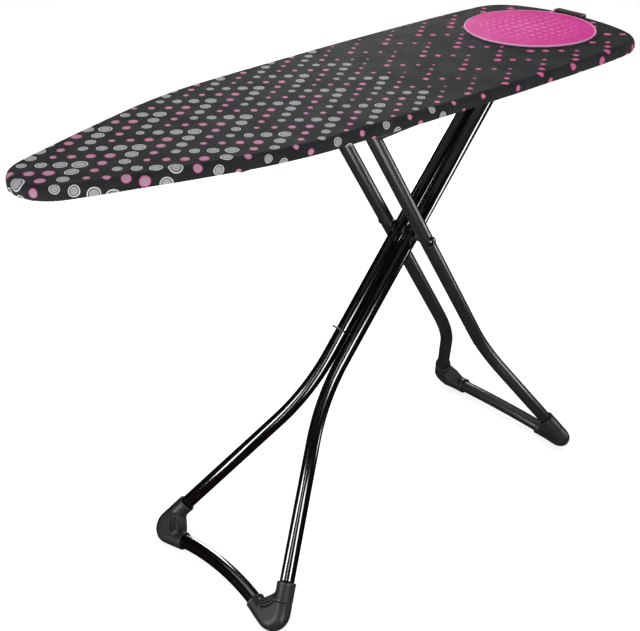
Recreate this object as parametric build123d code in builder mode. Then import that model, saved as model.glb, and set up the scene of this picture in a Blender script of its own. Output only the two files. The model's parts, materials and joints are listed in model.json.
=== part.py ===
"""Folding ironing board: scissor legs under a padded, covered mesh table.

Frame: X along the board (nose at -X, square tail at +X), Y across it, Z up, floor at Z = 0.
Leg A (inner pair of tubes) hinges under the tail half; its foot stands under the nose half.
Leg B (outer pair) crosses it at the pivot bolt; its slide bar runs in the two rails.
"""
from build123d import *
from math import atan2, cos, radians, sin, sqrt
import os

os.makedirs("parts", exist_ok=True)

# ---- board ---------------------------------------------------------------------------------
NOSE_X, TAIL_X = -611.5, 608.5     # ends of the cover
TOP = 873.0                # top of the cover above the floor
COVER_BOTTOM = 853.0       # lower edge of the cover's skirt
NOSE_R = 66.0
NOSE_SWEEP = 70.0          # degrees of nose arc on each side of the tip
FLANK = [(-346, 136.5), (-180, 167), (330, 184), (508, 179.5)]     # ends of the flank's arcs
CORNER_R = 88.0            # rounded tail corners, which blend into a slightly bowed tail
COVER_T = 1.5
SKIN_GAP = 0.3             # between soft layers and what they lie on
PAD_T = 6.0
PANEL_T = 1.2
RIM_W = 12.0               # turned-in flange of the rim
RIM_T = 2.0
RIM_INSET = 2.2            # cover outline to the rim's outer face
HEM_W = 13.0               # cover turned in under the rim
EDGE_SOFT = 4.5            # chamfer round the top of pad and cover

# ---- legs ----------------------------------------------------------------------------------
TUBE_R = 13.0
TUBE_WALL = 1.5
PIVOT_X, PIVOT_Z = 145.0, 561.3
TILT_A, TILT_B = 40.7, 31.6     # degrees from the vertical, leaning opposite ways
HALF_A, HALF_B = 16.5, 48.6     # tube centres from the middle of the board
AXIS_Z = 833.5                  # hinge pin and slide bar
AXIS_OFFSET = 21.8              # pin and bar centre above the tubes' plane
ANKLE_Z_A, ANKLE_Z_B = 7.6, 11.8        # where a leg's and its crossbar's centre lines meet
FOOT_HALF_A, FOOT_HALF_B = 180.6, 183.7
FLARE_Z_A, FLARE_Z_B = 300.0, 250.0     # where the tubes turn outwards
FLARE_R_A, FLARE_R_B = 399.0, 282.0
BOW_A, BOW_B = 30.0, 15.5               # rise of each foot crossbar
SOCKET_R = 16.8
LEG_SOCKET, BAR_SOCKET = 88.0, 79.0     # from the ankle to the open ends of a foot's sockets
ELBOW_R = 17.0                  # bend of a foot's own centre line
WEB_LEN = 76.0                  # web between the sockets, along each
WEB_DEPTH = 64.0                # from the ankle to the web's inner edge
WEB_T = 25.0
TUBE_INSET = 48.0               # tube ends stop this far from the ankle
RUN_GAP = 0.06                  # running clearance on pins
GAP = 0.3

# ---- underframe ----------------------------------------------------------------------------
BAR_R = 8.0
GLIDE_R = 10.0
RAIL_IN, RAIL_OUT = 65.0, 81.0          # from the middle of the board
RAIL_X0, RAIL_X1 = -318.0, 300.0
RAIL_T = 1.5
RAIL_NOSE = 26.0              # slanted lower front corner
RAIL_TOP = 852.6               # leaves the slide bar room to rise part-way through folding
PIN_R = 5.0
BOLT_R = 4.0
EAR_IN, EAR_OUT = 31.2, 34.2
LEVER_X, LEVER_Z, LEVER_R = 48.0, 844.0, 3.0
MAT_X, MAT_Y, MAT_R = 459.0, 3.0, 121.5

PANEL_TOP = TOP - COVER_T - PAD_T - 2 * SKIN_GAP
PANEL_BOTTOM = PANEL_TOP - PANEL_T


def unit(tilt):
    """Direction up a leg that leans `tilt` degrees towards +X."""
    return Vector(sin(radians(tilt)), 0, cos(radians(tilt)))


def normal(tilt, side):
    """Direction from a leg's plane to its pin: upwards once the leg is folded."""
    return Vector(side * cos(radians(tilt)), 0, -side * sin(radians(tilt)))


UP_A, UP_B = unit(TILT_A), unit(-TILT_B)
NORMAL_A, NORMAL_B = normal(TILT_A, -1), normal(-TILT_B, 1)
PIVOT = Vector(PIVOT_X, 0, PIVOT_Z)
REACH_A = (AXIS_Z - PIVOT_Z - AXIS_OFFSET * NORMAL_A.Z) / UP_A.Z
REACH_B = (AXIS_Z - PIVOT_Z - AXIS_OFFSET * NORMAL_B.Z) / UP_B.Z
HINGE = PIVOT + UP_A * REACH_A + NORMAL_A * AXIS_OFFSET
BAR = PIVOT + UP_B * REACH_B + NORMAL_B * AXIS_OFFSET
DROP_A = (PIVOT_Z - ANKLE_Z_A) / UP_A.Z
DROP_B = (PIVOT_Z - ANKLE_Z_B) / UP_B.Z
TUBE_PAST = 14.0               # tubes run on past the pin and bar
TURN_RATIO = (180 - TILT_A - TILT_B) / (90 - TILT_A)    # leg B's turn about the bolt, per leg A's


def bar_at(fold):
    """Centre of the slide bar once leg A has swung up by `fold` degrees."""
    tilt_a = TILT_A + fold
    tilt_b = -TILT_B - (TURN_RATIO - 1) * fold
    pivot = HINGE - normal(tilt_a, -1) * AXIS_OFFSET - unit(tilt_a) * REACH_A
    return pivot + unit(tilt_b) * REACH_B + normal(tilt_b, 1) * AXIS_OFFSET


def save(part, label):
    part.part.label = label
    export_step(part.part, f"parts/{label}.step")


def left_of(heading):
    """Unit vector to the left of a heading in the board's plane."""
    return Vector(-sin(heading), cos(heading))


def outline(inset):
    """Board outline as a face, drawn `inset` inside the cover's edge with tangent arcs only."""
    heading = radians(90 - NOSE_SWEEP)
    point = Vector(NOSE_X + NOSE_R, 0) + left_of(heading) * NOSE_R
    start = Vector(NOSE_X + inset, 0)
    with BuildSketch() as face:
        with BuildLine():
            edge = TangentArc(start, point - left_of(heading) * inset, tangent=(0, 1))
            for join in FLANK:
                chord = Vector(*join) - point
                heading = 2 * atan2(chord.Y, chord.X) - heading
                point = Vector(*join)
                edge = TangentArc(edge @ 1, point - left_of(heading) * inset, tangent=edge % 1)
            corner = point - left_of(heading) * CORNER_R
            back = TAIL_X - corner.X
            tail_r = (back**2 + corner.Y**2 - CORNER_R**2) / (2 * (back - CORNER_R))
            tail_mid = Vector(TAIL_X - tail_r, 0)
            tail_start = tail_mid + (corner - tail_mid).normalized() * (tail_r - inset)
            edge = TangentArc(edge @ 1, tail_start, tangent=edge % 1)
            edge = TangentArc(edge @ 1, (TAIL_X - inset, 0), tangent=edge % 1)
            Line(edge @ 1, start)
        make_face()
        mirror(about=Plane.XZ)
    return face.sketch


def slab(inset, low, high, soft=0.0):
    """Slab of the board's outline between two heights, with its top edge chamfered by `soft`."""
    with BuildPart(mode=Mode.PRIVATE) as body:
        with BuildSketch(Plane.XY.offset(low)):
            add(outline(inset))
        extrude(amount=high - low)
        if soft:
            chamfer(body.faces().sort_by(Axis.Z)[-1].edges(), soft)
    return body.part


def box_between(low, high, mode=Mode.ADD):
    """Box from its lowest to its highest corner."""
    size = [b - a for a, b in zip(low, high)]
    with Locations(tuple((a + b) / 2 for a, b in zip(low, high))):
        Box(*size, mode=mode)


def rod_y(x, z, low, high, radius, mode=Mode.ADD):
    """Round rod across the board, from y = low to y = high."""
    with Locations((x, (low + high) / 2, z)):
        Cylinder(radius, high - low, rotation=(90, 0, 0), mode=mode)


# ---- table: rim, mesh panel, pad, cover ----------------------------------------------------
# The rim is an angle section: an upright wall round the panel and a flange turned in below it.
RIM_BOTTOM = COVER_BOTTOM + COVER_T + SKIN_GAP
with BuildPart() as board_rim:
    add(slab(RIM_INSET, RIM_BOTTOM, PANEL_TOP))
    add(slab(RIM_INSET + RIM_T, RIM_BOTTOM + RIM_T, PANEL_TOP), mode=Mode.SUBTRACT)
    add(slab(RIM_INSET + RIM_W, RIM_BOTTOM, RIM_BOTTOM + RIM_T), mode=Mode.SUBTRACT)
save(board_rim, "board_rim")

HOLE_PITCH_X, HOLE_PITCH_Y = 52.0, 40.0
HOLE_LONG, HOLE_WIDE = 34.0, 13.0


def board_edge(x):
    """Rough half-width of the flat panel at x, a little inside the true one."""
    if x < -200:
        return 76 + 0.25 * (x + 520)
    return 150 - 0.4 * max(0, x - 500)


hole_places = [
    ((column + shift) * HOLE_PITCH_X, (row + shift) * HOLE_PITCH_Y)
    for shift in (0, 0.5)
    for column in range(-11, 12)
    for row in range(-4, 5)
]
hole_places = [(x, y) for x, y in hole_places if -550 < x < 565 and abs(y) < board_edge(x)]
with BuildPart() as mesh_panel:
    with BuildSketch(Plane.XY.offset(PANEL_BOTTOM)):
        add(outline(RIM_INSET + RIM_T))
        with Locations(*hole_places):
            SlotOverall(HOLE_LONG, HOLE_WIDE, mode=Mode.SUBTRACT)
    extrude(amount=PANEL_T)
save(mesh_panel, "mesh_panel")

with BuildPart() as felt_pad:
    pad_bottom = PANEL_TOP + SKIN_GAP
    add(slab(RIM_INSET, pad_bottom, pad_bottom + PAD_T, EDGE_SOFT))
save(felt_pad, "felt_pad")

with BuildPart() as cover:
    add(slab(0, COVER_BOTTOM, TOP, EDGE_SOFT))
    inside = slab(COVER_T, COVER_BOTTOM + COVER_T, TOP - COVER_T, EDGE_SOFT)
    add(inside, mode=Mode.SUBTRACT)
    add(slab(HEM_W, COVER_BOTTOM, COVER_BOTTOM + COVER_T), mode=Mode.SUBTRACT)
save(cover, "cover")

# Hem band: the elastic that draws the cover tight under the rim.
HEM_T = 3.0
with BuildPart() as cover_hem:
    with BuildSketch(Plane.XY.offset(COVER_BOTTOM - HEM_T)):
        add(outline(HEM_W - 7))
        add(outline(HEM_W + 1), mode=Mode.SUBTRACT)
    extrude(amount=HEM_T)
save(cover_hem, "cover_hem")

# Heat-resistant iron rest: a thin moulded disc with a raised rim.
MAT_T = 2.4
with BuildPart() as iron_mat:
    with BuildSketch(Plane.XY.offset(TOP + SKIN_GAP)):
        with Locations((MAT_X, MAT_Y)):
            Circle(MAT_R)
    extrude(amount=MAT_T)
    with BuildSketch(Plane.XY.offset(TOP + SKIN_GAP + MAT_T)):
        with Locations((MAT_X, MAT_Y)):
            Circle(MAT_R)
            Circle(MAT_R - 4, mode=Mode.SUBTRACT)
    extrude(amount=1.0)
save(iron_mat, "iron_mat")

# Clip folded over the tail edge, just behind the mat.
CLIP_W = 64.0
CLIP_Y = 19.0
CLIP_T = 2.5
CLIP_TOP = TOP + 1.2
CLIP_REACH = 15.0
CLIP_X0 = TAIL_X + 0.5
with BuildPart() as mat_clip:
    box_between(
        (CLIP_X0 - CLIP_REACH, CLIP_Y - CLIP_W / 2, CLIP_TOP),
        (CLIP_X0 + CLIP_T, CLIP_Y + CLIP_W / 2, CLIP_TOP + CLIP_T),
    )
    box_between(
        (CLIP_X0, CLIP_Y - CLIP_W / 2, COVER_BOTTOM - HEM_T - CLIP_T),
        (CLIP_X0 + CLIP_T, CLIP_Y + CLIP_W / 2, CLIP_TOP),
    )
    box_between(
        (CLIP_X0 - CLIP_REACH, CLIP_Y - CLIP_W / 2, COVER_BOTTOM - HEM_T - CLIP_T - 0.3),
        (CLIP_X0 + CLIP_T, CLIP_Y + CLIP_W / 2, COVER_BOTTOM - HEM_T - 0.3),
    )
    box_between(
        (CLIP_X0 - CLIP_REACH, CLIP_Y - CLIP_W / 2, TOP + SKIN_GAP),
        (CLIP_X0 - CLIP_REACH + 3, CLIP_Y + CLIP_W / 2, CLIP_TOP),
    )
    fillet(mat_clip.edges().filter_by(Axis.Y).group_by(Axis.X)[-1], 2.0)
save(mat_clip, "mat_clip")


# ---- underframe: rails, cross members, hinge bracket, rack ---------------------------------
def rail(side):
    """C channel, open towards the middle, with the lever rod's hole through both webs."""
    bottom = AXIS_Z - GLIDE_R - 0.5 - RAIL_T
    with BuildPart() as channel:
        low_y, high_y = sorted((side * RAIL_IN, side * RAIL_OUT))
        box_between((RAIL_X0, low_y, bottom), (RAIL_X1, high_y, RAIL_TOP))
        low_y, high_y = sorted((side * (RAIL_IN - 1), side * (RAIL_OUT - RAIL_T)))
        box_between(
            (RAIL_X0 + RAIL_T, low_y, bottom + RAIL_T),
            (RAIL_X1 - RAIL_T, high_y, RAIL_TOP - RAIL_T),
            mode=Mode.SUBTRACT,
        )
        low_y, high_y = sorted((side * (RAIL_OUT - 4), side * (RAIL_OUT + 1)))
        rod_y(LEVER_X, LEVER_Z, low_y, high_y, LEVER_R + RUN_GAP, mode=Mode.SUBTRACT)
        with BuildSketch(Plane.XZ.offset(RAIL_OUT + 1)):
            with BuildLine():
                Polyline(
                    (RAIL_X0 - 1, bottom - 1),
                    (RAIL_X0 + RAIL_NOSE, bottom - 1),
                    (RAIL_X0 - 1, bottom + RAIL_NOSE / 2),
                    close=True,
                )
            make_face()
        extrude(amount=-2 * (RAIL_OUT + 1), mode=Mode.SUBTRACT)
    return channel


for side, label in ((-1, "rail_near"), (1, "rail_far")):
    save(rail(side), label)


def cross_member(x):
    """Shallow hat-section strip under the panel, from rim to rim, that the rails hang from."""
    half = 14.0
    reach = 190.0
    with BuildPart() as strip:
        box_between((x - half, -reach, RAIL_TOP), (x + half, reach, PANEL_BOTTOM))
        box_between(
            (x - half + RAIL_T, -reach, RAIL_TOP + RAIL_T),
            (x + half - RAIL_T, reach, PANEL_BOTTOM),
            mode=Mode.SUBTRACT,
        )
        for flange_x in (x - half - 8, x + half):
            box_between((flange_x, -reach, PANEL_BOTTOM - RAIL_T), (flange_x + 8, reach, PANEL_BOTTOM))
        add(slab(RIM_INSET + RIM_W, RAIL_TOP, PANEL_BOTTOM), mode=Mode.INTERSECT)
    return strip


CROSS_X = {"front": -298.0, "middle": 92.0, "rear": HINGE.X}
for name, x in CROSS_X.items():
    save(cross_member(x), f"cross_member_{name}")

EAR_X = 17.0
with BuildPart() as hinge_bracket:
    box_between(
        (HINGE.X - EAR_X, -EAR_OUT, RAIL_TOP - 3),
        (HINGE.X + EAR_X, EAR_OUT, RAIL_TOP),
    )
    for side in (-1, 1):
        low_y, high_y = sorted((side * EAR_IN, side * EAR_OUT))
        box_between((HINGE.X - EAR_X, low_y, AXIS_Z), (HINGE.X + EAR_X, high_y, RAIL_TOP - 3))
        rod_y(HINGE.X, AXIS_Z, low_y, high_y, EAR_X * 0.7)
    rod_y(HINGE.X, AXIS_Z, -EAR_OUT - 1, EAR_OUT + 1, PIN_R, mode=Mode.SUBTRACT)
save(hinge_bracket, "hinge_bracket")

with BuildPart() as hinge_pin:
    rod_y(HINGE.X, AXIS_Z, -EAR_OUT, EAR_OUT, PIN_R)
save(hinge_pin, "hinge_pin")

# Height rack: two notched flanges over the slide bar, arched like the bar's own path.
RACK_HALF = 22.0
RACK_CLEAR = BAR_R + 1.2
NOTCHES = 7
FIRST_FOLD, FOLD_STEP = 4.0, 4.3
NOTCH_DEPTH = 3.0
RACK_X0 = bar_at(FIRST_FOLD + NOTCHES * FOLD_STEP).X
RACK_X1 = bar_at(FIRST_FOLD).X + 12


def rack_profile():
    """Corner points of a notched flange, from the tail end to the nose end."""
    first = bar_at(FIRST_FOLD)
    points = [(RACK_X1, RAIL_TOP), (RACK_X1, first.Z + RACK_CLEAR)]
    for notch in range(NOTCHES):
        at = bar_at(FIRST_FOLD + notch * FOLD_STEP)
        edge = at.Z + RACK_CLEAR
        deep = min(RAIL_TOP - RAIL_T, edge + NOTCH_DEPTH)
        points += [(at.X + 8, edge), (at.X + 5, deep), (at.X - 6, deep), (at.X - 11, edge)]
    last = bar_at(FIRST_FOLD + NOTCHES * FOLD_STEP)
    return points + [(RACK_X0, last.Z + RACK_CLEAR), (RACK_X0, RAIL_TOP)]


with BuildPart() as height_rack:
    for y in (-RACK_HALF, RACK_HALF - RAIL_T):
        with BuildSketch(Plane.XZ.offset(-y - RAIL_T)):
            with BuildLine():
                Polyline(*rack_profile(), close=True)
            make_face()
        extrude(amount=RAIL_T)
    box_between(
        (RACK_X0, -RACK_HALF, RAIL_TOP),
        (RACK_X1, RACK_HALF, RAIL_TOP + RAIL_T),
    )
    for x in (RACK_X0 + 40, RACK_X1 - 40):
        box_between((x - 10, -RACK_HALF, RAIL_TOP), (x + 10, RACK_HALF, PANEL_BOTTOM))
save(height_rack, "height_rack")

# ---- release lever: a bent rod with a pawl over the slide bar -------------------------------
GRIP_X, GRIP_Y, GRIP_Z = -42.0, -136.0, 838.0
LEVER_END_Y = 34.0
with BuildPart() as release_lever:
    with BuildLine() as rod_path:
        FilletPolyline(
            (LEVER_X, LEVER_END_Y, LEVER_Z),
            (LEVER_X, GRIP_Y, LEVER_Z),
            (GRIP_X - 26, GRIP_Y, GRIP_Z),
            radius=12,
        )
    with BuildSketch(Plane(rod_path.line @ 0, z_dir=rod_path.line % 0)):
        Circle(LEVER_R)
    sweep()
save(release_lever, "release_lever")

PAWL_T = 3.0
PAWL_TIP_X = -11.0
PAWL_TIP_Z = AXIS_Z + BAR_R + 2.2
with BuildPart() as lock_pawl:
    for y in (-14, 14):
        with BuildSketch(Plane.XZ.offset(-y - PAWL_T / 2)):
            with BuildLine():
                Polyline(
                    (LEVER_X + 5, LEVER_Z - 5),
                    (LEVER_X - 6, LEVER_Z - 5),
                    (LEVER_X - 30, PAWL_TIP_Z + 2),
                    (PAWL_TIP_X + 6, PAWL_TIP_Z + 3),
                    (PAWL_TIP_X, PAWL_TIP_Z),
                    (PAWL_TIP_X - 3, PAWL_TIP_Z + 3),
                    (PAWL_TIP_X, PAWL_TIP_Z + 7),
                    (LEVER_X + 5, LEVER_Z + 5),
                    close=True,
                )
            make_face()
        extrude(amount=PAWL_T)
    rod_y(LEVER_X, LEVER_Z, -20, 20, LEVER_R, mode=Mode.SUBTRACT)
save(lock_pawl, "lock_pawl")

grip_direction = Vector(GRIP_X - 26 - LEVER_X, 0, GRIP_Z - LEVER_Z).normalized()
grip_start = Vector(LEVER_X, GRIP_Y, LEVER_Z) + grip_direction * 24
with BuildPart() as lever_grip:
    with BuildSketch(Plane(grip_start, z_dir=grip_direction)):
        Circle(8)
    extrude(amount=98)
    fillet(lever_grip.edges(), 3)
    with BuildSketch(Plane(grip_start - grip_direction, z_dir=grip_direction)):
        Circle(LEVER_R)
    extrude(amount=94.6, mode=Mode.SUBTRACT)
save(lever_grip, "lever_grip")

with BuildPart() as lever_bracket:
    box_between((LEVER_X - 8, 27, LEVER_Z - 8), (LEVER_X + 8, 29, PANEL_BOTTOM))
    box_between((LEVER_X - 8, 27, PANEL_BOTTOM - 2), (LEVER_X + 8, 50, PANEL_BOTTOM))
    rod_y(LEVER_X, LEVER_Z, 26, 30, LEVER_R + RUN_GAP, mode=Mode.SUBTRACT)
save(lever_bracket, "lever_bracket")

with BuildPart() as lever_spring:
    rod_y(LEVER_X, LEVER_Z, 17, 27, 5.2)
    rod_y(LEVER_X, LEVER_Z, 16, 28, LEVER_R + 0.8, mode=Mode.SUBTRACT)
save(lever_spring, "lever_spring")


# ---- legs ----------------------------------------------------------------------------------
def leg_frame(up):
    """Plane of a leg: local X across the board, local Y up the leg, origin at the pivot."""
    return Plane(origin=PIVOT, x_dir=(0, 1, 0), z_dir=Vector(0, 1, 0).cross(up))


def flare(side, half, foot_half, drop, flare_z, up):
    """Local points of a tube's centre line: top, flare bend and ankle."""
    bend = (flare_z - PIVOT_Z) / up.Z
    return (side * half, bend), (side * foot_half, -drop)


def short_of(ankle, bend, distance):
    """Point on the line from the ankle to the bend, `distance` away from the ankle."""
    run = sqrt((bend[0] - ankle[0]) ** 2 + (bend[1] - ankle[1]) ** 2)
    part = distance / run
    return ankle[0] + (bend[0] - ankle[0]) * part, ankle[1] + (bend[1] - ankle[1]) * part


def leg_tube(frame, side, half, foot_half, reach, drop, flare_z, flare_r, up, wall, bolt_r):
    """Bent steel tube from beyond its pin down into the foot's socket."""
    bend, ankle = flare(side, half, foot_half, drop, flare_z, up)
    with BuildPart() as tube:
        with BuildLine(frame) as path:
            FilletPolyline(
                (side * half, reach + TUBE_PAST),
                bend,
                short_of(ankle, bend, TUBE_INSET),
                radius=flare_r,
            )
        with BuildSketch(Plane(path.line @ 0, z_dir=path.line % 0)):
            Circle(TUBE_R)
            Circle(TUBE_R - wall, mode=Mode.SUBTRACT)
        sweep()
        y = side * half
        rod_y(PIVOT_X, PIVOT_Z, y - TUBE_R - 1, y + TUBE_R + 1, bolt_r, mode=Mode.SUBTRACT)
    return tube


def bar_point(side, foot_half, drop, bow, along):
    """Local point of a bowed crossbar's centre line, `along` its length from the ankle."""
    radius = (foot_half**2 + bow**2) / (2 * bow)
    swing = atan2(foot_half, radius - bow) - along / radius
    return side * radius * sin(swing), -drop + bow - radius * (1 - cos(swing))


def crossbar(frame, foot_half, drop, bow):
    """Bowed tube between the feet; its ends stop inside the sockets."""
    ends = [bar_point(side, foot_half, drop, bow, TUBE_INSET) for side in (-1, 1)]
    with BuildPart() as bar:
        with BuildLine(frame) as path:
            ThreePointArc(ends[0], (0, -drop + bow), ends[1])
        with BuildSketch(Plane(path.line @ 0, z_dir=path.line % 0)):
            Circle(TUBE_R)
            Circle(TUBE_R - TUBE_WALL, mode=Mode.SUBTRACT)
        sweep()
    return bar


def foot(frame, side, half, foot_half, drop, flare_z, bow, up):
    """Moulded elbow: a socket for the leg, one for the crossbar, and a web between them."""
    bend, ankle = flare(side, half, foot_half, drop, flare_z, up)
    bar_end = bar_point(side, foot_half, drop, bow, BAR_SOCKET)
    leg_stop = short_of(ankle, bend, TUBE_INSET)
    leg_past = short_of(ankle, bend, LEG_SOCKET + 5)
    bar_stop, bar_late, bar_past = [
        bar_point(side, foot_half, drop, bow, along)
        for along in (TUBE_INSET, (TUBE_INSET + BAR_SOCKET) / 2, BAR_SOCKET + 5)
    ]
    web_leg = short_of(ankle, bend, WEB_LEN)
    web_bar = short_of(ankle, bar_end, WEB_LEN)
    middle = ((web_leg[0] + web_bar[0]) / 2, (web_leg[1] + web_bar[1]) / 2)
    web_mid = short_of(ankle, middle, WEB_DEPTH)
    web_root = short_of(ankle, middle, 2 * ELBOW_R)
    with BuildPart() as elbow:
        with BuildLine(frame) as centre:
            FilletPolyline(short_of(ankle, bend, LEG_SOCKET), ankle, bar_end, radius=ELBOW_R)
        with BuildSketch(Plane(centre.line @ 0, z_dir=centre.line % 0)):
            Circle(SOCKET_R)
        sweep(path=centre.line)
        with BuildSketch(frame.offset(-WEB_T / 2)):
            with BuildLine():
                Line(web_root, web_leg)
                ThreePointArc(web_leg, web_mid, web_bar)
                Line(web_bar, web_root)
            make_face()
        extrude(amount=WEB_T)
        with BuildLine(frame) as leg_bore:
            Line(leg_stop, leg_past)
        with BuildSketch(Plane(leg_bore.line @ 0, z_dir=leg_bore.line % 0)):
            Circle(TUBE_R)
        sweep(path=leg_bore.line, mode=Mode.SUBTRACT)
        with BuildLine(frame) as bar_bore:
            ThreePointArc(bar_stop, bar_late, bar_past)
        with BuildSketch(Plane(bar_bore.line @ 0, z_dir=bar_bore.line % 0)):
            Circle(TUBE_R)
        sweep(path=bar_bore.line, mode=Mode.SUBTRACT)
        low = frame.from_local_coords(Vector(*ankle, 0))
        box_between((low.X - 90, low.Y - 90, -30), (low.X + 90, low.Y + 90, 0), mode=Mode.SUBTRACT)
    return elbow


FRAME_A, FRAME_B = leg_frame(UP_A), leg_frame(UP_B)
LEGS = {
    "a": (FRAME_A, HALF_A, FOOT_HALF_A, REACH_A, DROP_A, FLARE_Z_A, FLARE_R_A, BOW_A, UP_A),
    "b": (FRAME_B, HALF_B, FOOT_HALF_B, REACH_B, DROP_B, FLARE_Z_B, FLARE_R_B, BOW_B, UP_B),
}
BOLT_HOLE = {"a": BOLT_R + RUN_GAP, "b": BOLT_R}
for leg, (frame, half, foot_half, reach, drop, flare_z, flare_r, bow, up) in LEGS.items():
    for side, place in ((-1, "near"), (1, "far")):
        tube = leg_tube(
            frame, side, half, foot_half, reach, drop, flare_z, flare_r, up,
            TUBE_WALL, BOLT_HOLE[leg],
        )
        save(tube, f"leg_{leg}_tube_{place}")
    save(crossbar(frame, foot_half, drop, bow), f"leg_{leg}_crossbar")
    elbow = foot(frame, -1, half, foot_half, drop, flare_z, bow, up)
    save(elbow, f"foot_{leg}_near")
    with BuildPart() as far_elbow:
        mirror(elbow.part, about=Plane.XZ)
    save(far_elbow, f"foot_{leg}_far")

SADDLE_LEN = 20.0


def saddles(up, across, axis, half, bore_r):
    """Welded saddles between a leg's tubes and the sleeve or bar above them."""
    with BuildPart() as blocks:
        for side in (-1, 1):
            foot_point = axis - across * AXIS_OFFSET + Vector(0, side * half, 0)
            with BuildSketch(Plane(foot_point, x_dir=up, z_dir=across)):
                Rectangle(SADDLE_LEN, 18)
            extrude(amount=AXIS_OFFSET)
            with BuildSketch(Plane(foot_point - up * 30, z_dir=up)):
                Circle(TUBE_R)
            extrude(amount=60, mode=Mode.SUBTRACT)
        rod_y(axis.X, axis.Z, -100, 100, bore_r, mode=Mode.SUBTRACT)
    return blocks


SLEEVE_R = 8.0
save(saddles(UP_A, NORMAL_A, HINGE, HALF_A, SLEEVE_R), "hinge_saddles")
save(saddles(UP_B, NORMAL_B, BAR, HALF_B, BAR_R), "slide_bar_saddles")

with BuildPart() as hinge_sleeve:
    rod_y(HINGE.X, AXIS_Z, -EAR_IN + 0.5, EAR_IN - 0.5, SLEEVE_R)
    rod_y(HINGE.X, AXIS_Z, -EAR_IN, EAR_IN, PIN_R + RUN_GAP, mode=Mode.SUBTRACT)
save(hinge_sleeve, "hinge_sleeve")

GLIDE_T = 11.0
GLIDE_END = RAIL_OUT - RAIL_T - 1.0
with BuildPart() as slide_bar:
    rod_y(BAR.X, AXIS_Z, -GLIDE_END + 2, GLIDE_END - 2, BAR_R)
save(slide_bar, "slide_bar")

for side, label in ((-1, "slide_glide_near"), (1, "slide_glide_far")):
    low_y, high_y = sorted((side * (GLIDE_END - GLIDE_T), side * GLIDE_END))
    bore_low, bore_high = sorted((side * (GLIDE_END - GLIDE_T - 1), side * (GLIDE_END - 2)))
    with BuildPart() as glide:
        rod_y(BAR.X, AXIS_Z, low_y, high_y, GLIDE_R)
        rod_y(BAR.X, AXIS_Z, bore_low, bore_high, BAR_R, mode=Mode.SUBTRACT)
        fillet(glide.faces().sort_by(Axis.Y)[0 if side < 0 else -1].edges(), 1.2)
    save(glide, label)


def end_caps(up, half, reach):
    """Plastic plugs in the open tops of a leg's tubes."""
    with BuildPart() as caps:
        for side in (-1, 1):
            top = PIVOT + up * (reach + TUBE_PAST) + Vector(0, side * half, 0)
            with BuildSketch(Plane(top, z_dir=up)):
                Circle(TUBE_R)
            extrude(amount=2.5)
            with BuildSketch(Plane(top, z_dir=-up)):
                Circle(TUBE_R - TUBE_WALL)
            extrude(amount=9)
    return caps


save(end_caps(UP_A, HALF_A, REACH_A), "leg_a_end_caps")
save(end_caps(UP_B, HALF_B, REACH_B), "leg_b_end_caps")

# Wire clip over the far tube of leg A, just above the flare.
CLIP_DROP = 218.0
CLIP_WIRE_R = 1.7
CLIP_STAND = 3.4               # beside the tube, clear of leg B's tube once folded
clip_origin = PIVOT - UP_A * CLIP_DROP
with BuildPart() as leg_a_wire_clip:
    clip_plane = Plane(clip_origin, x_dir=(0, 1, 0), z_dir=UP_A)
    lift = TUBE_R + CLIP_WIRE_R
    sign = 1 if clip_plane.y_dir.Z > 0 else -1
    with BuildLine(clip_plane) as wire:
        FilletPolyline(
            (0.5, sign * lift),
            (HALF_A + TUBE_R + CLIP_STAND, sign * lift),
            (HALF_A + TUBE_R + CLIP_STAND, -sign * lift),
            (-HALF_A, -sign * lift),
            radius=5,
        )
    with BuildSketch(Plane(wire.line @ 0, z_dir=wire.line % 0)):
        Circle(CLIP_WIRE_R)
    sweep()
save(leg_a_wire_clip, "leg_a_wire_clip")

# ---- pivot ---------------------------------------------------------------------------------
OUT_B = HALF_B + TUBE_R
WASHER_T = 1.6
with BuildPart() as pivot_bolt:
    rod_y(PIVOT_X, PIVOT_Z, -OUT_B - WASHER_T - 3, OUT_B + WASHER_T + 3, BOLT_R)
save(pivot_bolt, "pivot_bolt")

with BuildPart() as pivot_washers:
    for side in (-1, 1):
        low_y, high_y = sorted((side * OUT_B, side * (OUT_B + WASHER_T)))
        rod_y(PIVOT_X, PIVOT_Z, low_y, high_y, 9.0)
    rod_y(PIVOT_X, PIVOT_Z, -OUT_B - 5, OUT_B + 5, BOLT_R, mode=Mode.SUBTRACT)
save(pivot_washers, "pivot_washers")

CAP_R, CAP_T = 8.0, 5.5
with BuildPart() as pivot_caps:
    for side in (-1, 1):
        low_y, high_y = sorted((side * (OUT_B + WASHER_T), side * (OUT_B + WASHER_T + CAP_T)))
        rod_y(PIVOT_X, PIVOT_Z, low_y, high_y, CAP_R)
    outer = pivot_caps.faces().sort_by(Axis.Y)
    fillet(outer[0].edges() + outer[-1].edges(), 3.5)
    rod_y(PIVOT_X, PIVOT_Z, -OUT_B - WASHER_T - 3, OUT_B + WASHER_T + 3, BOLT_R, mode=Mode.SUBTRACT)
save(pivot_caps, "pivot_caps")

with BuildPart() as pivot_spacers:
    for side in (-1, 1):
        low_y, high_y = sorted((side * (HALF_A + TUBE_R + GAP), side * (HALF_B - TUBE_R)))
        rod_y(PIVOT_X, PIVOT_Z, low_y, high_y, 10.0)
    rod_y(PIVOT_X, PIVOT_Z, -(HALF_A - TUBE_R) + GAP, HALF_A - TUBE_R - GAP, 10.0)
    rod_y(PIVOT_X, PIVOT_Z, -OUT_B, OUT_B, BOLT_R, mode=Mode.SUBTRACT)
save(pivot_spacers, "pivot_spacers")

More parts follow.
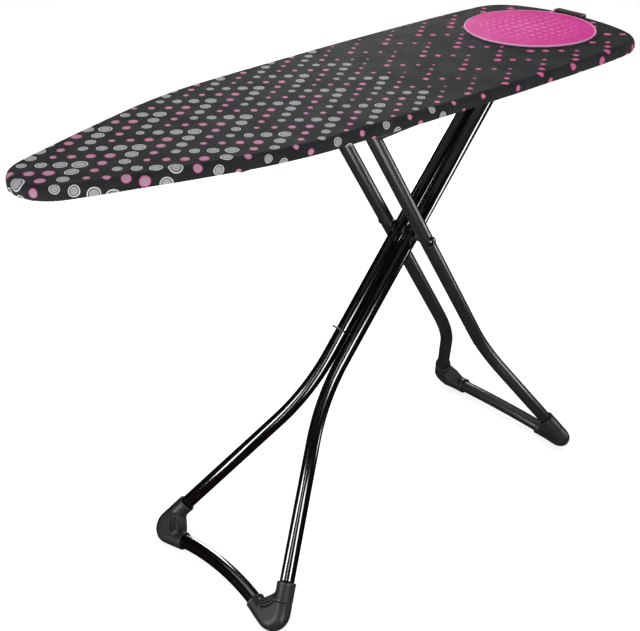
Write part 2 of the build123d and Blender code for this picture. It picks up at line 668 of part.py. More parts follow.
# ---- fasteners -----------------------------------------------------------------------------
with BuildPart() as hinge_pin_clips:
    for side in (-1, 1):
        low_y, high_y = sorted((side * EAR_OUT, side * (EAR_OUT + 0.9)))
        rod_y(HINGE.X, AXIS_Z, low_y, high_y, 6.5)
save(hinge_pin_clips, "hinge_pin_clips")

with BuildPart() as rail_rivets:
    for x in (CROSS_X["front"], CROSS_X["middle"]):
        for side in (-1, 1):
            with Locations((x, side * 73, RAIL_TOP - RAIL_T - 0.6)):
                Cylinder(4.5, 1.2)
save(rail_rivets, "rail_rivets")
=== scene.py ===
"""Looks of the folding ironing board: printed cover, pink iron rest, black steel scissor legs.

All lengths are in metres in the shared frame: X towards the square tail, Y across, Z up.
"""
import json
from math import cos, pi, radians, sin, sqrt, tau
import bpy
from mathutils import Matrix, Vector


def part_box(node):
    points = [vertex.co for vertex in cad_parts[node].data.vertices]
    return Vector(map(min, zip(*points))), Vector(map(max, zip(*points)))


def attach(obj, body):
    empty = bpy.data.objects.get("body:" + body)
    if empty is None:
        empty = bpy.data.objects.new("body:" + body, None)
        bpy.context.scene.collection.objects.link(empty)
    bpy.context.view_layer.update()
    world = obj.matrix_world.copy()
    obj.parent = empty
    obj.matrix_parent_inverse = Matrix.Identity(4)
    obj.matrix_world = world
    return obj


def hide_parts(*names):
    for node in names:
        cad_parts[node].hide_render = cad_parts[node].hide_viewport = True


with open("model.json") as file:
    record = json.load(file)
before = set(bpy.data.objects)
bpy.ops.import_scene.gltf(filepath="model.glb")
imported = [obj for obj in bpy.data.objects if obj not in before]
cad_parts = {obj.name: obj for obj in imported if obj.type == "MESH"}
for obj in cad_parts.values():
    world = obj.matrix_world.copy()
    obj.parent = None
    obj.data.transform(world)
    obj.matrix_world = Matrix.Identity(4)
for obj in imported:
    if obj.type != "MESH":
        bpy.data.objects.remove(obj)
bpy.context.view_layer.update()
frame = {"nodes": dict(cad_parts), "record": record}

from types import SimpleNamespace

import bmesh
import bpy
import numpy as np
from mathutils import Vector, geometry

MM = 0.001

# ---- the same dimensions as the CAD --------------------------------------------------------
COVER_LOW, COVER_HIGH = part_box("cover")
TOP, COVER_BOTTOM = COVER_HIGH.z, COVER_LOW.z
NOSE_X, TAIL_X = COVER_LOW.x, COVER_HIGH.x
TUBE_R, TUBE_WALL = 13 * MM, 1.5 * MM
PIVOT = Vector((0.145, 0, 0.5613))
TUBE_PAST = 14 * MM                       # leg tube above the hinge pin or slide bar
TUBE_INSET = 48 * MM                      # from the ankle to a tube's end in its socket
LEG_SOCKET, BAR_SOCKET = 88 * MM, 79 * MM # from the ankle to each socket's lip
SOCKET_R = 16.8 * MM
WEB_LEN = 76 * MM                         # web between a foot's sockets, along each
WEB_DEPTH = 64 * MM                       # from the ankle to the web's inner edge
SOLE_ROUND = 12 * MM                      # radius round the sole's edge

# For each leg: its tilt in degrees from the vertical towards the tail, half the distance between
# its tubes at the top and at the feet, the distance along it from the pivot to the hinge pin or
# slide bar, the height and radius of the tubes' flare, the crossbar's bow and the ankles' height.
LEGS = {
    "a": SimpleNamespace(
        tilt=40.7, half=16.5 * MM, foot_half=180.6 * MM, reach=0.340288,
        flare_z=0.300, flare_r=0.399, bow=30.0 * MM, ankle_z=7.6 * MM,
    ),
    "b": SimpleNamespace(
        tilt=-31.6, half=48.6 * MM, foot_half=183.7 * MM, reach=0.306175,
        flare_z=0.250, flare_r=0.282, bow=15.5 * MM, ankle_z=11.8 * MM,
    ),
}
SIDES = ((-1, "near"), (1, "far"))


# ---- material networks ---------------------------------------------------------------------
class Term:
    """A value inside a material's network; arithmetic on it adds the matching nodes."""

    def __init__(self, tree, socket):
        self.tree = tree
        self.socket = socket

    def __add__(self, other):
        return calc("ADD", self, other)

    def __radd__(self, other):
        return calc("ADD", self, other)

    def __sub__(self, other):
        return calc("SUBTRACT", self, other)

    def __rsub__(self, other):
        return calc("SUBTRACT", other, self)

    def __mul__(self, other):
        return calc("MULTIPLY", self, other)

    def __rmul__(self, other):
        return calc("MULTIPLY", self, other)

    def __truediv__(self, other):
        return calc("DIVIDE", self, other)


def feed(socket, value):
    """Links a Term to a socket, or sets the socket's own value."""
    if isinstance(value, Term):
        value.tree.links.new(value.socket, socket)
    else:
        socket.default_value = value


def calc(operation, *values, clamp=False):
    """One math node over Terms and numbers."""
    tree = next(v.tree for v in values if isinstance(v, Term))
    node = tree.nodes.new("ShaderNodeMath")
    node.operation = operation
    node.use_clamp = clamp
    for socket, value in zip(node.inputs, values):
        feed(socket, value)
    return Term(tree, node.outputs[0])


def floor(value):
    return calc("FLOOR", value)


def nearest(value):
    return calc("FLOOR", value + 0.5)


def size(value):
    return calc("ABSOLUTE", value)


def smaller(a, b):
    return calc("MINIMUM", a, b)


def larger(a, b):
    return calc("MAXIMUM", a, b)


def above(a, b):
    """1 where a is greater than b, otherwise 0."""
    return calc("GREATER_THAN", a, b)


def edge(distance, softness):
    """0 to 1 across a border of that softness, where distance passes 0."""
    return calc("MULTIPLY_ADD", distance, 1 / softness, 0.5, clamp=True)


def blend(share, first, second):
    """Colour that goes from first to second as share goes from 0 to 1."""
    tree = share.tree
    node = tree.nodes.new("ShaderNodeMix")
    node.data_type = "RGBA"
    feed(node.inputs["Factor"], share)
    colours = [s for s in node.inputs if s.type == "RGBA"]
    feed(colours[0], first)
    feed(colours[1], second)
    return Term(tree, next(s for s in node.outputs if s.type == "RGBA"))


def ramp(value, low, high):
    """value, from low to high, as 0 to 1."""
    return calc("MULTIPLY_ADD", value, 1 / (high - low), -low / (high - low), clamp=True)


def srgb(red, green, blue):
    """Linear colour of an 8-bit screen colour."""
    def linear(channel):
        part = channel / 255
        return part / 12.92 if part <= 0.04045 else ((part + 0.055) / 1.055) ** 2.4

    return linear(red), linear(green), linear(blue), 1.0


def place(tree):
    """Object coordinates, in metres."""
    return Term(tree, tree.nodes.new("ShaderNodeTexCoord").outputs["Object"])


def parts(vector):
    """The three components of a vector Term."""
    node = vector.tree.nodes.new("ShaderNodeSeparateXYZ")
    feed(node.inputs[0], vector)
    return [Term(vector.tree, socket) for socket in node.outputs]


def stretch(vector, scale):
    """vector with each component multiplied."""
    node = vector.tree.nodes.new("ShaderNodeVectorMath")
    node.operation = "MULTIPLY"
    feed(node.inputs[0], vector)
    feed(node.inputs[1], scale)
    return Term(vector.tree, node.outputs[0])


def noise(vector, scale, detail=2.0, rough=0.5):
    """Smooth noise, about 0.3 to 0.7, with `scale` features per unit."""
    node = vector.tree.nodes.new("ShaderNodeTexNoise")
    feed(node.inputs["Vector"], vector)
    feed(node.inputs["Scale"], scale)
    feed(node.inputs["Detail"], detail)
    feed(node.inputs["Roughness"], rough)
    return Term(vector.tree, node.outputs[0])


def bump(height, depth):
    """Surface normal bumped by height, whose full range stands for `depth` metres."""
    node = height.tree.nodes.new("ShaderNodeBump")
    feed(node.inputs["Height"], height)
    feed(node.inputs["Distance"], depth)
    return Term(height.tree, node.outputs[0])


def material(name):
    """New material's network, its Principled shader's inputs and the material."""
    made = bpy.data.materials.new(name)
    made.use_nodes = True
    shader = made.node_tree.nodes["Principled BSDF"]
    return made.node_tree, shader.inputs, made


def painted(name, colour, worn, rough, peel=0.00004, coat=0.0):
    """Sprayed paint or moulded plastic: faint mottling, dust in the finish and a fine texture."""
    tree, into, made = material(name)
    spot = place(tree)
    cloud = noise(spot, 14.0, 3.0)
    speck = noise(spot, 900.0, 2.0, 0.6)
    feed(into["Base Color"], blend(ramp(cloud, 0.35, 0.7), colour, worn))
    feed(into["Roughness"], calc("MULTIPLY_ADD", cloud, 0.16, rough - 0.08))
    feed(into["Coat Weight"], coat)
    feed(into["Coat Roughness"], 0.05)
    feed(into["Normal"], bump(speck + noise(spot, 160.0, 1.0), peel))
    return made


def plated(name, colour, dull, rough):
    """Zinc or bare steel: bright metal with cloudy plating and fine drawn lines."""
    tree, into, made = material(name)
    spot = place(tree)
    cloud = noise(spot, 120.0, 4.0, 0.6)
    drawn = noise(stretch(spot, (900.0, 60.0, 900.0)), 1.0, 2.0)
    feed(into["Base Color"], blend(ramp(cloud, 0.35, 0.65), colour, dull))
    feed(into["Metallic"], 1.0)
    feed(into["Roughness"], calc("MULTIPLY_ADD", cloud, 0.22, rough - 0.1))
    feed(into["Normal"], bump(drawn, 0.00003))
    return made


# ---- the cover's print ---------------------------------------------------------------------
CLOTH = srgb(37, 40, 42)
CLOTH_WARM = srgb(30, 32, 35)
WHITE = srgb(238, 239, 240)
PALE = srgb(186, 188, 192)
PALE_DARK = srgb(160, 162, 167)
ROSE_NOSE = srgb(188, 150, 172)
ROSE_MID = srgb(212, 150, 182)
PINK = srgb(222, 112, 164)
PINK_EDGE = srgb(208, 72, 138)

# Layout of the dots on the flat cloth, in mm. The rows lean back and forth in a zigzag six rows
# long. Towards the nose its corners come closer together, and white ones alternate with pink.
ZIGZAG_ROWS = 6.0
LEAN_STEP = 21.2               # how far each row of the zigzag is shifted
NOSE_GAP, NOSE_CORNER = 47.3, 55.1
TAIL_GAP, TAIL_CORNER = 83.4, 168.0
TAIL_FROM = 135.0              # the wider tail layout starts here
ROW_GAP, ROW_ZERO = 15.55, -19.0
ROWS_TURN = 45.0               # past here the rows run further askew and spread
WHITE_WIDTH, WHITE_SHRINK = 16.0, 0.0112     # widths at the middle of the board, and how much
NOSE_WIDTH, NOSE_SHRINK = 12.0, 0.0098       # they change per mm towards the tail
TAIL_WIDTH, TAIL_GROWTH = 3.4, 0.0135
YARN = 0.9                     # one over-and-under of the weave


def dot_row(row, x, y, middle, pitch, blotch, under):
    """Colour of the cloth with one row of printed dots laid over the colour `under`."""
    half = ZIGZAG_ROWS / 2
    lean = size(calc("FLOORED_MODULO", row + half, ZIGZAG_ROWS) - half)
    along = x + LEAN_STEP * lean
    wide = above(along, TAIL_FROM)
    close = smaller(nearest((along - NOSE_CORNER) / NOSE_GAP), 1.0)
    apart = larger(nearest((along - TAIL_CORNER) / TAIL_GAP), 0.0)
    close_corner = NOSE_GAP * close + NOSE_CORNER
    corner = close_corner + wide * (TAIL_GAP * apart + TAIL_CORNER - close_corner)
    odd = calc("FLOORED_MODULO", close, 2.0)
    white = (1.0 - wide) * (1.0 - odd)
    taper = 1.0 - 0.115 * lean            # dots shrink from one corner of the zigzag to the next
    white_width = taper * (WHITE_WIDTH - WHITE_SHRINK * corner)
    nose_width = taper * (NOSE_WIDTH - NOSE_SHRINK * corner)
    tail_width = TAIL_GROWTH * corner + TAIL_WIDTH + 1.8 * lean
    late = above(corner, 90.0)
    pink_width = nose_width + late * (tail_width - nose_width)
    width = pink_width + white * (white_width - pink_width)
    dx = along - corner
    dy = y - row * pitch - middle
    inside = width * 0.5 - calc("SQRT", dx * dx + dy * dy)

    rim = 1.0 - edge(inside - 0.085 * width, 0.3)
    core = edge(inside - 0.15 * width, 0.4)
    grey = blend(blotch, PALE, PALE_DARK)
    white_face = blend(core, CLOTH_WARM, grey)
    white_dot = blend(rim, white_face, WHITE)
    rose = blend(ramp(x, -420.0, -40.0), ROSE_NOSE, ROSE_MID)
    rose = blend(ramp(x, 40.0, 260.0), rose, PINK)
    pink_dot = blend(rim, rose, PINK_EDGE)
    dot = blend(white, pink_dot, white_dot)
    return blend(edge(inside, 0.5), under, dot)


def printed_cloth():
    """Cover cloth: a woven ground with zigzag rows of ringed dots, printed flat before sewing."""
    tree, into, made = material("printed_cloth")
    source = tree.nodes.new("ShaderNodeAttribute")
    source.attribute_name = "flat_cloth"
    flat = Term(tree, source.outputs["Vector"])
    wander = noise(flat, 0.035, 1.0) - 0.5
    drift = noise(flat, 0.05, 0.0) - 0.5
    across, up, _ = parts(flat)
    y = up + 2.0 * wander
    x = across + 2.4 * drift - 0.05 * y
    after = larger(x - ROWS_TURN, 0.0)
    middle = ROW_ZERO - 0.0194 * smaller(x, ROWS_TURN) - 0.055 * after
    pitch = ROW_GAP + 0.0028 * after
    base = floor((y - middle) / pitch)
    blotch = ramp(noise(flat, 0.55, 3.0, 0.7), 0.4, 0.6)
    cloud = ramp(noise(flat, 0.02, 3.0), 0.35, 0.65)
    colour = blend(cloud, CLOTH, CLOTH_WARM)
    colour = dot_row(base, x, y, middle, pitch, blotch, colour)
    colour = dot_row(base + 1.0, x, y, middle, pitch, blotch, colour)
    warp = calc("SINE", across * (tau / YARN))
    weft = calc("SINE", up * (tau / YARN))
    weave = warp * weft + noise(flat, 0.9, 2.0)
    feed(into["Base Color"], colour)
    feed(into["Roughness"], calc("MULTIPLY_ADD", cloud, 0.1, 0.72))
    feed(into["Specular IOR Level"], 0.12)
    feed(into["Sheen Weight"], 0.05)
    feed(into["Sheen Roughness"], 0.4)
    feed(into["Normal"], bump(weave, 0.00008))
    return made


def silicone():
    """Pink iron rest: frosted moulding, with painted highlights on the tops of the raised studs and on its
    thin rim.
    """
    tree, into, made = material("pink_silicone")
    source = tree.nodes.new("ShaderNodeAttribute")
    source.attribute_name = "raised"
    raised = Term(tree, source.outputs["Fac"])
    spot = place(tree)
    frost = noise(spot, 1500.0, 2.0, 0.7)
    cloud = noise(spot, 25.0, 3.0)
    base = blend(ramp(cloud, 0.35, 0.65), srgb(230, 54, 156), srgb(236, 68, 168))
    # Painted highlights: paler pink where the studs rise, and near-white pink on the thin rim, where the
    # "raised" mark passes 1.
    stud = blend(smaller(raised, 1.0), base, srgb(248, 112, 192))
    feed(into["Base Color"], blend(larger(raised - 1.0, 0.0), stud, srgb(255, 196, 232)))
    feed(into["Roughness"], calc("MULTIPLY_ADD", frost, 0.2, 0.42))
    feed(into["Specular IOR Level"], 0.22)
    feed(into["Subsurface Weight"], 0.1)
    feed(into["Subsurface Radius"], (0.004, 0.0012, 0.002))
    feed(into["Subsurface Scale"], 0.5)
    feed(into["Normal"], bump(frost, 0.00006))
    return made


def felt():
    """Needled felt: off-white fibres lying every way."""
    tree, into, made = material("needled_felt")
    spot = place(tree)
    fibre = noise(stretch(spot, (300.0, 1400.0, 900.0)), 1.0, 4.0, 0.7)
    tuft = noise(spot, 220.0, 4.0, 0.65)
    fuzz = ramp(fibre + tuft, 0.75, 1.25)
    feed(into["Base Color"], blend(fuzz, srgb(205, 203, 196), srgb(170, 168, 163)))
    feed(into["Roughness"], 0.95)
    feed(into["Sheen Weight"], 0.35)
    feed(into["Normal"], bump(fibre + tuft, 0.0006))
    return made


def elastic():
    """Hem elastic: black ribbed tape with a dull yarn."""
    tree, into, made = material("ribbed_elastic")
    spot = place(tree)
    yarn = noise(stretch(spot, (1100.0, 1100.0, 2600.0)), 1.0, 2.0)
    feed(into["Base Color"], blend(ramp(yarn, 0.35, 0.65), srgb(40, 40, 43), srgb(26, 26, 28)))
    feed(into["Roughness"], 0.85)
    feed(into["Sheen Weight"], 0.2)
    feed(into["Normal"], bump(yarn, 0.0003))
    return made


def moulded(name, colour, worn, rough, depth):
    """Moulded plastic with a fine spark-eroded grain."""
    tree, into, made = material(name)
    spot = place(tree)
    grain = noise(spot, 1300.0, 3.0, 0.65)
    cloud = noise(spot, 30.0, 3.0)
    feed(into["Base Color"], blend(ramp(cloud, 0.35, 0.65), colour, worn))
    feed(into["Roughness"], calc("MULTIPLY_ADD", grain, 0.2, rough - 0.1))
    feed(into["Normal"], bump(grain, depth))
    return made


def foot_plastic():
    """Feet: dark soft plastic, with painted shade, near black, in its grooves and seam."""
    tree, into, made = material("foot_plastic")
    source = tree.nodes.new("ShaderNodeAttribute")
    source.attribute_name = "hollow"
    hollow = Term(tree, source.outputs["Fac"])
    spot = place(tree)
    grain = noise(spot, 1300.0, 3.0, 0.65)
    cloud = noise(spot, 30.0, 3.0)
    skin = blend(ramp(cloud, 0.35, 0.65), srgb(45, 40, 44), srgb(37, 33, 37))
    # Painted shade: the skin is blended towards near black in the grooves and seam, where the "hollow"
    # mark is set.
    feed(into["Base Color"], blend(hollow, skin, srgb(6, 5, 6)))
    feed(into["Roughness"], calc("MULTIPLY_ADD", grain, 0.18, 0.34) + 0.5 * hollow)
    feed(into["Specular IOR Level"], 0.22)
    feed(into["Normal"], bump(grain, 0.0001))
    return made


MATERIALS = {
    "rim_steel": painted("rim_paint", srgb(150, 152, 154), srgb(138, 140, 143), 0.4),
    "panel_steel": painted("panel_paint", srgb(160, 162, 164), srgb(148, 150, 152), 0.42),
    "felt": felt(),
    "cover_cloth": printed_cloth(),
    "hem_elastic": elastic(),
    "mat_silicone": silicone(),
    "clip_brown": painted("clip_paint", srgb(96, 76, 66), srgb(78, 58, 54), 0.42),
    "frame_black": painted("frame_paint", srgb(36, 36, 38), srgb(28, 28, 30), 0.42),
    "zinc": plated("zinc_plate", (0.62, 0.62, 0.6, 1), (0.5, 0.5, 0.47, 1), 0.32),
    "spring_steel": plated("spring_wire", (0.45, 0.45, 0.46, 1), (0.34, 0.34, 0.35, 1), 0.28),
    "grip_plastic": moulded("grip_plastic", srgb(34, 34, 35), srgb(28, 28, 29), 0.5, 0.00025),
    "leg_a_black": painted("gloss_black", srgb(17, 12, 11), srgb(12, 8, 8), 0.16, coat=0.7),
    "leg_b_black": painted("satin_black", srgb(36, 32, 32), srgb(29, 26, 26), 0.36, 0.00006),
    "cap_plastic": moulded("cap_plastic", srgb(36, 36, 37), srgb(30, 30, 31), 0.5, 0.0002),
    "clip_wire": plated("dark_wire", (0.2, 0.2, 0.21, 1), (0.13, 0.13, 0.14, 1), 0.3),
    "glide_nylon": moulded("nylon", srgb(38, 38, 38), srgb(32, 32, 33), 0.38, 0.0001),
    "foot_plastic": foot_plastic(),
    "bolt_black": painted("bolt_black", srgb(24, 24, 25), srgb(18, 18, 19), 0.2, coat=0.4),
}


# ---- mesh helpers --------------------------------------------------------------------------
def build(name, points, faces, slot, body):
    """Smooth-shaded piece from points and faces, riding on a body, in its slot's material."""
    mesh = bpy.data.meshes.new(name)
    mesh.from_pydata([tuple(p) for p in points], [], faces)
    mesh.update()
    mesh.shade_smooth()
    piece = bpy.data.objects.new(name, mesh)
    bpy.context.collection.objects.link(piece)
    mesh.materials.append(MATERIALS[slot])
    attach(piece, body)
    return piece


def ring_faces(rings, count, closed):
    """Quads between successive rings of `count` points, back to the first ring if closed."""
    faces = []
    for i in range(rings if closed else rings - 1):
        low, high = i * count, (i + 1) % rings * count
        for j in range(count):
            k = (j + 1) % count
            faces.append((low + j, low + k, high + k, high + j))
    return faces


def merge(piece, distance=1e-7):
    """Joins coincident points and turns every face outwards."""
    made = bmesh.new()
    made.from_mesh(piece.data)
    bmesh.ops.remove_doubles(made, verts=made.verts, dist=distance)
    bmesh.ops.dissolve_degenerate(made, edges=made.edges, dist=distance)
    bmesh.ops.recalc_face_normals(made, faces=made.faces)
    made.to_mesh(piece.data)
    made.free()
    piece.data.shade_smooth()


def smooth_step(value):
    """0 to 1 with level ends, as value goes from 0 to 1."""
    value = np.clip(value, 0, 1)
    return value * value * (3 - 2 * value)


def coordinates(mesh, which):
    """A mesh's points ("co") or their normals ("normal"), one row each."""
    values = np.empty(len(mesh.vertices) * 3)
    mesh.vertices.foreach_get(which, values)
    return values.reshape(-1, 3)


def mark_points(mesh, name, values):
    """Adds a number per point that a material can read by name."""
    mark = mesh.attributes.new(name, "FLOAT", "POINT")
    mark.data.foreach_set("value", values)


def apply_modifiers(piece):
    """Bakes a piece's modifiers into its mesh."""
    graph = bpy.context.evaluated_depsgraph_get()
    mesh = bpy.data.meshes.new_from_object(piece.evaluated_get(graph))
    piece.modifiers.clear()
    piece.data = mesh


# ---- board outline, read from the CAD cover ------------------------------------------------
HALF_STEPS = 420                      # points from the nose tip round one flank to the tail


def half_outline():
    """Evenly spaced points of the cover's edge from the nose tip to the tail, on the +Y side."""
    corners = [(v.co.x, v.co.y) for v in frame["nodes"]["cover"].data.vertices]
    hull = np.array([corners[i] for i in geometry.convex_hull_2d(corners)])
    upper = hull[hull[:, 1] > 1e-5]
    upper = upper[np.argsort(np.arctan2(upper[:, 1], -upper[:, 0]))]
    line = np.vstack([(NOSE_X, 0), upper, (TAIL_X, 0)])
    run = np.r_[0, np.cumsum(np.hypot(*np.diff(line, axis=0).T))]
    even = np.linspace(0, run[-1], HALF_STEPS + 1)
    points = np.stack([np.interp(even, run, line[:, k]) for k in (0, 1)], axis=1)
    for _ in range(12):
        full = np.vstack([points[1] * (1, -1), points, points[-2] * (1, -1)])
        points = (full[:-2] + 2 * full[1:-1] + full[2:]) / 4
    return points


HALF = half_outline()
OUTLINE = np.vstack([HALF, HALF[-2:0:-1] * (1, -1)])       # clockwise seen from above
TANGENT = np.roll(OUTLINE, -1, axis=0) - np.roll(OUTLINE, 1, axis=0)
TANGENT /= np.hypot(*TANGENT.T)[:, None]
OUTWARD = np.stack([-TANGENT[:, 1], TANGENT[:, 0]], axis=1)
COUNT = len(OUTLINE)
RUN = np.r_[0, np.cumsum(np.hypot(*np.diff(OUTLINE, axis=0).T))]      # distance round the edge
SPINE = np.stack([np.clip(OUTLINE[:, 0], NOSE_X + 0.066, TAIL_X - 0.12), 0 * RUN], axis=1)
BEND = np.clip((np.abs(OUTLINE[:, 0] - 0.02) - 0.36) / 0.22, 0, 1)    # 1 round nose and tail


def inset_ring(inset, height):
    """Ring of points `inset` inside the cover's edge (a number or one per point)."""
    flat = OUTLINE - OUTWARD * np.broadcast_to(inset, (COUNT,))[:, None]
    return np.column_stack([flat, np.broadcast_to(height, (COUNT,))])


def table_rings(inset, height, steps):
    """Rings from the board's middle line out to `inset`, at one height."""
    outer = OUTLINE - OUTWARD * inset
    rings = [SPINE + (outer - SPINE) * (i / steps) for i in range(steps)]
    return [np.column_stack([ring, np.full(COUNT, height)]) for ring in rings]


def waves(seed, lengths):
    """Irregular ripple round the edge, about -1 to 1, from waves of these lengths."""
    rng = np.random.default_rng(seed)
    total = RUN[-1] + np.hypot(*(OUTLINE[0] - OUTLINE[-1]))
    ripple = 0 * RUN
    for length in lengths:
        cycles = round(total / length)
        ripple += np.sin(tau * cycles * RUN / total + rng.uniform(0, tau))
    return ripple / sqrt(len(lengths))


# ---- cover ---------------------------------------------------------------------------------
SHOULDER_R, LIP_R, HEM_W = 9 * MM, 2.5 * MM, 13 * MM


def make_cover():
    """Cover: one stretched sheet over the table, down the edge and turned in under the rim."""
    top_rings = table_rings(SHOULDER_R, TOP, 40)
    flats = [ring[:, :2] for ring in top_rings]
    rings = []
    for ring in top_rings:
        x, y = ring[:, 0], ring[:, 1]
        sway = np.sin(9 * x + 5 * y + 1) + np.sin(21 * x - 13 * y) + np.sin(37 * x + 31 * y + 2)
        dip = 0.32 * MM * (1 + sway / 3)
        rings.append(np.column_stack([x, y, ring[:, 2] - dip]))
    edge_flat = OUTLINE - OUTWARD * SHOULDER_R
    pucker = waves(3, (0.031, 0.023, 0.017, 0.012)) * (0.35 + 0.65 * BEND)
    slow = waves(5, (0.33, 0.21, 0.13))
    run = 0.0

    def add(inset, height, step):
        nonlocal run
        run += step
        rings.append(inset_ring(inset, height))
        flats.append(edge_flat + OUTWARD * run)

    for i in range(9):
        turn = radians(90 * i / 8)
        fold = 0.5 * MM * sin(turn) ** 2 * pucker
        step = SHOULDER_R * radians(90 / 8) if i else 0.0
        add(SHOULDER_R * (1 - sin(turn)) + fold, TOP - SHOULDER_R * (1 - cos(turn)), step)
    wall = TOP - SHOULDER_R - COVER_BOTTOM - LIP_R
    for i in range(1, 7):
        down = i / 6
        belly = -0.35 * MM * sin(pi * down)
        fold = (0.5 + 0.5 * down) * MM * pucker
        add(fold + belly, TOP - SHOULDER_R - wall * down, wall / 6)
    for i in range(1, 6):
        turn = radians(90 * i / 5)
        inset = LIP_R * (1 - cos(turn)) + MM * pucker * cos(turn)
        height = COVER_BOTTOM + LIP_R * (1 - sin(turn)) + 0.3 * MM * slow * sin(turn)
        add(inset, height, LIP_R * radians(90 / 5))
    for i in range(1, 6):
        step = (HEM_W - LIP_R) / 5
        ruffle = 0.45 * MM * pucker * i / 5
        add(LIP_R + step * i, COVER_BOTTOM + 0.3 * MM * slow + ruffle + 0.3 * MM, step)
    piece = build(
        "cover_sheet", np.vstack(rings), ring_faces(len(rings), COUNT, False), "cover_cloth", "board"
    )
    cloth = piece.data.attributes.new("flat_cloth", "FLOAT_VECTOR", "POINT")
    flat = np.vstack(flats) / MM
    cloth.data.foreach_set("vector", np.column_stack([flat, 0 * flat[:, 0]]).ravel())
    merge(piece)
    solid = piece.modifiers.new("thickness", "SOLIDIFY")
    solid.thickness = 0.7 * MM
    solid.offset = -1
    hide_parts("cover")
    return piece


cover = make_cover()


def closed_loft(name, profile, slot, body):
    """Closed ring-shaped piece whose section is the profile of (inset, height) arrays."""
    rings = [inset_ring(inset, height) for inset, height in profile]
    piece = build(name, np.vstack(rings), ring_faces(len(rings), COUNT, True), slot, body)
    merge(piece)
    return piece


def make_hem():
    """Hem elastic: a flat band round the underside, gathered into close ribs."""
    gather = waves(11, (0.0068, 0.0079)) * (0.5 + 0.5 * BEND)
    wander = waves(12, (0.19, 0.11))
    low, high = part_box("cover_hem")[0].z, COVER_BOTTOM
    inner, outer = 13.6 * MM + 0.3 * MM * wander, 6.5 * MM + 0.3 * MM * wander
    sag = 0.35 * MM * gather
    middle = (inner + outer) / 2
    profile = [
        (outer + 0.6 * MM, low + 0.5 * MM + sag),
        (middle, low + 0.2 * MM + sag * 1.3),
        (inner - 0.6 * MM, low + 0.5 * MM + sag),
        (inner, low + 1.3 * MM + sag * 0.5),
        (inner - 0.6 * MM, high - 0.3 * MM),
        (middle, high - 0.1 * MM),
        (outer + 0.6 * MM, high - 0.3 * MM),
        (outer, low + 1.3 * MM + sag * 0.5),
    ]
    piece = closed_loft("hem_elastic_band", profile, "hem_elastic", "board")
    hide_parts("cover_hem")
    return piece


def flat_cut():
    """Size and area of the cover's flat cloth: the board's outline plus what is turned down."""
    skirt = SHOULDER_R * pi / 2 + (TOP - SHOULDER_R - COVER_BOTTOM - LIP_R) + LIP_R * pi / 2
    turned = skirt + HEM_W - LIP_R - SHOULDER_R
    x, y = OUTLINE.T
    board_area = abs(np.dot(x, np.roll(y, 1)) - np.dot(y, np.roll(x, 1))) / 2
    cut = (2 * (HALF[:, 1].max() + turned), TAIL_X - NOSE_X + 2 * turned)
    return cut, board_area + RUN[-1] * turned + pi * turned**2


hem = make_hem()
CUT, CUT_AREA = flat_cut()


def make_pad():
    """Felt pad: a thin soft slab with a rounded edge, lying on the mesh panel."""
    low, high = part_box("felt_pad")
    thick = high.z - low.z
    inset = low.x - NOSE_X
    profile = []
    for i in range(9):
        turn = radians(180 * i / 8)
        swell = thick / 2 * sin(turn)
        profile.append((inset + thick / 2 - swell + 0.2 * MM, low.z + thick * (1 - cos(turn)) / 2))
    rings = table_rings(inset + thick / 2, low.z, 24)
    rings += [inset_ring(*pair) for pair in profile]
    top = table_rings(inset + thick / 2, high.z, 24)
    rings += top[::-1]
    piece = build("felt_pad_body", np.vstack(rings), ring_faces(len(rings), COUNT, False), "felt", "board")
    merge(piece)
    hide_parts("felt_pad")


make_pad()


# ---- iron rest -----------------------------------------------------------------------------
def make_mat():
    """Iron rest: a disc with a thin raised rim and studs that shrink towards the edge."""
    low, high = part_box("iron_mat")
    centre = (low + high) / 2
    radius = (high.x - low.x) / 2
    face = high.z - 1.0 * MM - low.z
    around = 560
    angle = np.linspace(0, tau, around, endpoint=False)
    # The studs stand on a square grid that closes up towards the edge, like the lines of a globe.
    spread, reach = 96 * MM, 93 * MM
    lines = [spread * sin(radians(11.4 * i)) for i in range(-6, 7)]
    studs = [(x, y) for x in lines for y in lines if sqrt(x * x + y * y) < reach]
    radii = list(np.linspace(0, radius - 5 * MM, 132))
    radii += [radius - d * MM for d in (4.2, 3.4, 2.6, 1.9, 1.3, 0.8, 0.4, 0.1)]
    points, raised = [], []
    for r in radii:
        x, y = r * np.cos(angle), r * np.sin(angle)
        lift = np.zeros(around)
        for sx, sy in studs:
            width = (18 - 13 * sqrt(sx * sx + sy * sy) / reach) * MM      # 18 mm, 5 at the edge
            near = 1 - np.hypot(x - sx, y - sy) / (width / 2)
            lift = np.maximum(lift, np.clip(near * 2.4, 0, 1))
        lift = smooth_step(lift)
        rim = smooth_step((r - radius + 2.9 * MM) / (1.2 * MM))
        drop = max(0.0, r - radius + 1.6 * MM) ** 2 / (1.6 * MM) * 0.9
        height = face + 0.9 * MM * lift * (1 - rim) + 1.0 * MM * rim - drop
        points.append(np.column_stack([centre.x + x, centre.y + y, low.z + height]))
        # Mark for the pink material's painted highlights: up to 1 on the studs, 2 on the rim.
        raised.append(lift * (1 - rim) + 2 * rim)
    for r in (radius, radius - 0.6 * MM, radius / 2, 0.0):
        lift = 0.6 * MM if r == radius else 0.0
        ring = np.column_stack([r * np.cos(angle), r * np.sin(angle), np.full(around, low.z + lift)])
        ring[:, :2] += (centre.x, centre.y)
        points.append(ring)
        # The outer edge rings carry the rim's painted highlight too.
        raised.append(np.full(around, 2.0 if r > radius / 2 else 0.0))
    piece = build(
        "iron_rest", np.vstack(points), ring_faces(len(points), around, False), "mat_silicone", "board"
    )
    mark_points(piece.data, "raised", np.concatenate(raised))
    merge(piece)
    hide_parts("iron_mat")


make_mat()


